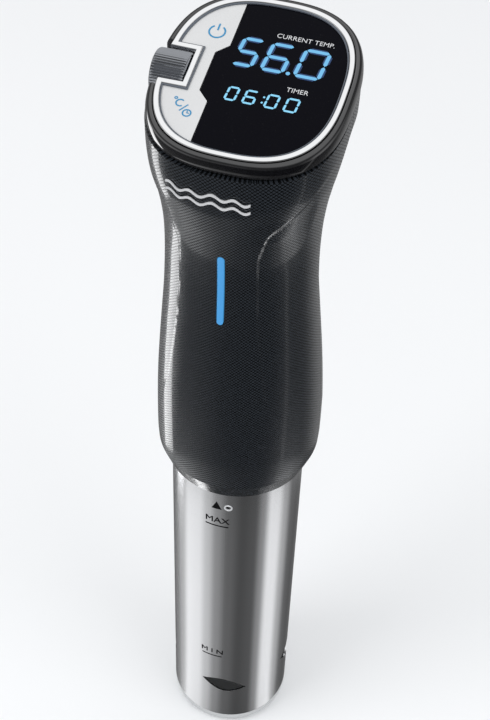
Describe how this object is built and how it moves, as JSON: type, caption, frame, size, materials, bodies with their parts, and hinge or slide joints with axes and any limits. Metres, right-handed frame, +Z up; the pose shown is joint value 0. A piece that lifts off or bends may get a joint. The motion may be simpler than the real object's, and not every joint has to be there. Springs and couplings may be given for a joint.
{
  "type": "sous vide circulator",
  "caption": "Stick circulator with a steel sleeve, waisted knurled grip, tilted touch face with a scroll wheel, and a pot clamp at the back.",
  "frame": {"origin": "on the stick's axis, at the flat underside of the end cap", "axes": "+Z up along the stick, -Y towards the front with the light bar, +X to the right of someone facing the front"},
  "size_m": [0.0752, 0.0947, 0.4046],
  "materials": {
    "knurled_black": "fine knurled black",
    "gloss_black": "polished black",
    "inner_black": "moulded black",
    "display_black": "black-backed glass",
    "pearl_white": "pearl",
    "chrome": "polished",
    "dark_chrome": "dark polished",
    "steel": "brushed",
    "laminated_iron": "laminated",
    "aluminium": "milled",
    "cap_grey": "moulded grey",
    "seal_rubber": "matt",
    "board": "solder mask",
    "bronze": "sintered",
    "light_lens": "lit diffuser"
  },
  "bodies": {
    "housing": {"bulkhead": "inner_black", "bulkhead_seal": "seal_rubber", "heater_coil": "steel", "temperature_probe": "steel", "level_rod_min": "steel", "level_rod_max": "steel", "shaft_guide_tube": "steel", "lower_bushing": "bronze", "shaft_seal": "seal_rubber", "pump_plate": "inner_black", "pump_post_1": "steel", "pump_post_2": "steel", "pump_post_3": "steel", "motor_case": "steel", "motor_magnet_left": "laminated_iron", "motor_magnet_right": "laminated_iron", "motor_mount": "inner_black", "motor_screw_1": "steel", "motor_screw_2": "steel", "motor_screw_3": "steel", "motor_screw_4": "steel", "power_board": "board", "triac_heatsink": "aluminium", "power_capacitor": "inner_black", "front_shell": "knurled_black", "rear_shell": "knurled_black", "light_bar": "light_lens", "light_bar_board": "board", "cable_gland": "inner_black", "head_band": "gloss_black", "trim_ring": "chrome", "face_gasket": "seal_rubber", "touch_panel": "pearl_white", "display_glass": "display_black", "face_carrier": "inner_black", "wheel_pocket": "inner_black", "wheel_encoder": "inner_black", "display_module": "inner_black", "control_board": "board", "control_chip": "inner_black", "clamp_bracket": "inner_black", "clamp_pin": "steel"},
    "lock_ring": {"sleeve_lock_ring": "inner_black"},
    "sleeve": {"steel_sleeve": "steel", "end_cap": "cap_grey"},
    "rotor": {"drive_shaft": "steel", "motor_rotor": "laminated_iron", "cooling_fan": "inner_black", "impeller": "inner_black"},
    "wheel": {"scroll_wheel": "dark_chrome", "wheel_shaft": "steel"},
    "clamp": {"clamp_lever": "steel", "clamp_spring": "steel", "clamp_pad": "seal_rubber"}
  },
  "joints": [
    {"name": "lock_twist", "type": "hinge", "parent": "housing", "child": "lock_ring", "pos_m": [0, 0, 0.209], "axis": [0, 0, 1], "range_deg": [0, 25]},
    {"name": "sleeve_slide", "type": "slide", "parent": "lock_ring", "child": "sleeve", "axis": [0, 0, -1], "range_m": [0, 0.2]},
    {"name": "rotor_spin", "type": "hinge", "parent": "housing", "child": "rotor", "pos_m": [0, 0, 0.25], "axis": [0, 0, 1], "continuous": true},
    {"name": "wheel_turn", "type": "hinge", "parent": "housing", "child": "wheel", "pos_m": [-0.03, 0.0048, 0.38895], "axis": [1, 0, 0], "continuous": true},
    {"name": "clamp_open", "type": "hinge", "parent": "housing", "child": "clamp", "pos_m": [0, 0.048, 0.25], "axis": [1, 0, 0], "range_deg": [0, 16], "stiffness_Nm_per_rad": 0.8, "springref_deg": -20.05}
  ]
}
